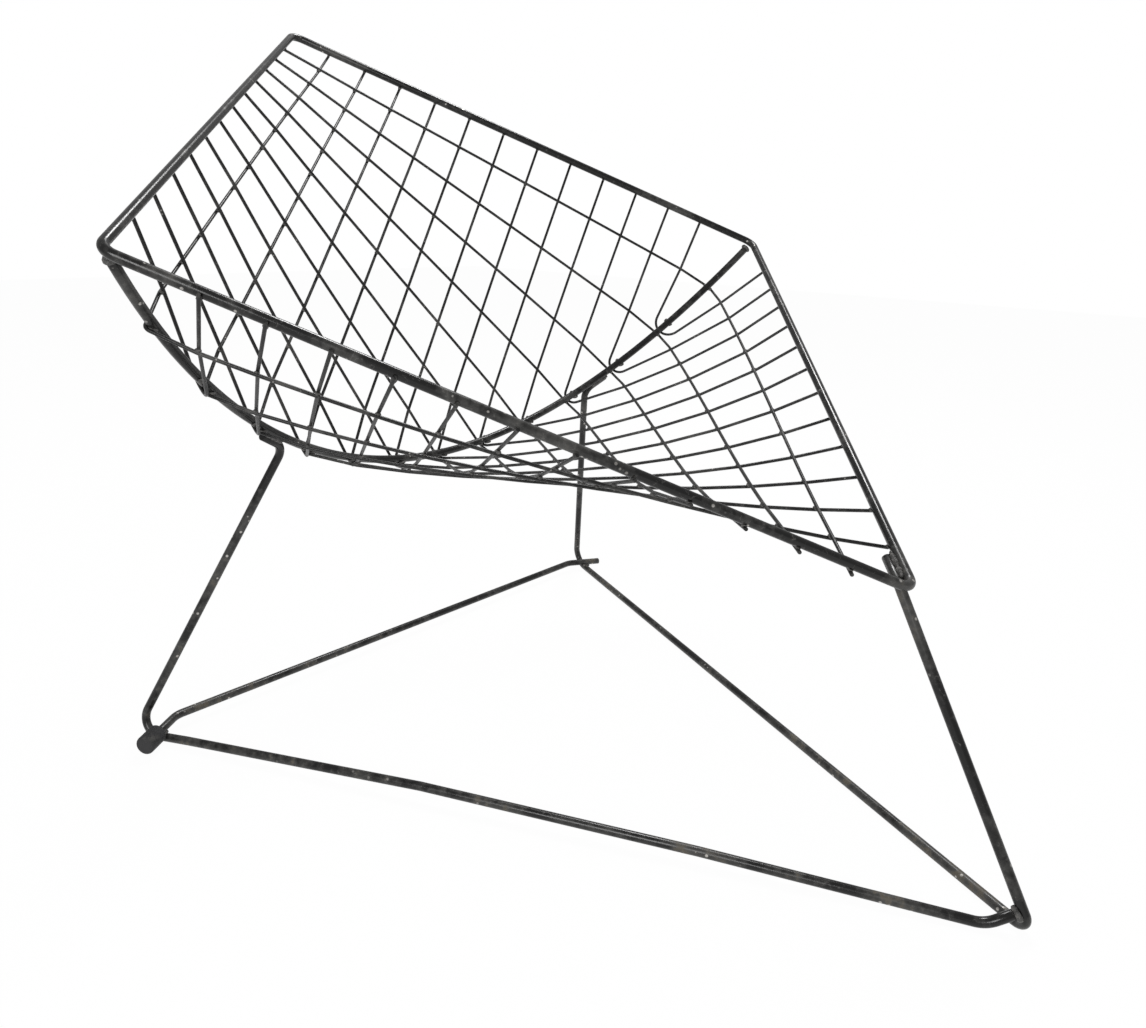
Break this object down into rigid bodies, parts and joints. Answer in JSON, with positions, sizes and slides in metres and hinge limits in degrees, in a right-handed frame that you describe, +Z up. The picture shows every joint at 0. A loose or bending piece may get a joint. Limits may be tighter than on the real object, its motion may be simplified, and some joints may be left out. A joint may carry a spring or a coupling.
{
  "type": "wire mesh lounge chair",
  "caption": "Low lounge chair of black steel rod with a bowl-shaped seat of crossed wires on a welded rod base.",
  "frame": {"origin": "on the floor, in the plane of symmetry, midway between the front foot and the back corner", "axes": "+Z up, +Y from the front foot towards the back, +X to the sitter's left"},
  "size_m": [0.8388, 0.8772, 0.6887],
  "materials": {
    "lacquered_rod": "semi-gloss black lacquer, scuffed",
    "lacquered_wire": "semi-gloss black lacquer",
    "cap_rubber": "matt moulded rubber"
  },
  "bodies": {
    "root": {"rim_frame": "lacquered_rod", "seat_arc": "lacquered_rod", "right_side_rod": "lacquered_rod", "left_side_rod": "lacquered_rod", "rear_runner": "lacquered_rod", "left_wire_01": "lacquered_wire", "left_wire_02": "lacquered_wire", "left_wire_03": "lacquered_wire", "left_wire_04": "lacquered_wire", "left_wire_05": "lacquered_wire", "left_wire_06": "lacquered_wire", "left_wire_07": "lacquered_wire", "left_wire_08": "lacquered_wire", "left_wire_09": "lacquered_wire", "left_wire_10": "lacquered_wire", "left_wire_11": "lacquered_wire", "left_wire_12": "lacquered_wire", "right_wire_01": "lacquered_wire", "right_wire_02": "lacquered_wire", "right_wire_03": "lacquered_wire", "right_wire_04": "lacquered_wire", "right_wire_05": "lacquered_wire", "right_wire_06": "lacquered_wire", "right_wire_07": "lacquered_wire", "right_wire_08": "lacquered_wire", "right_wire_09": "lacquered_wire", "right_wire_10": "lacquered_wire", "right_wire_11": "lacquered_wire", "right_wire_12": "lacquered_wire", "end_cap": "cap_rubber"}
  },
  "joints": []
}
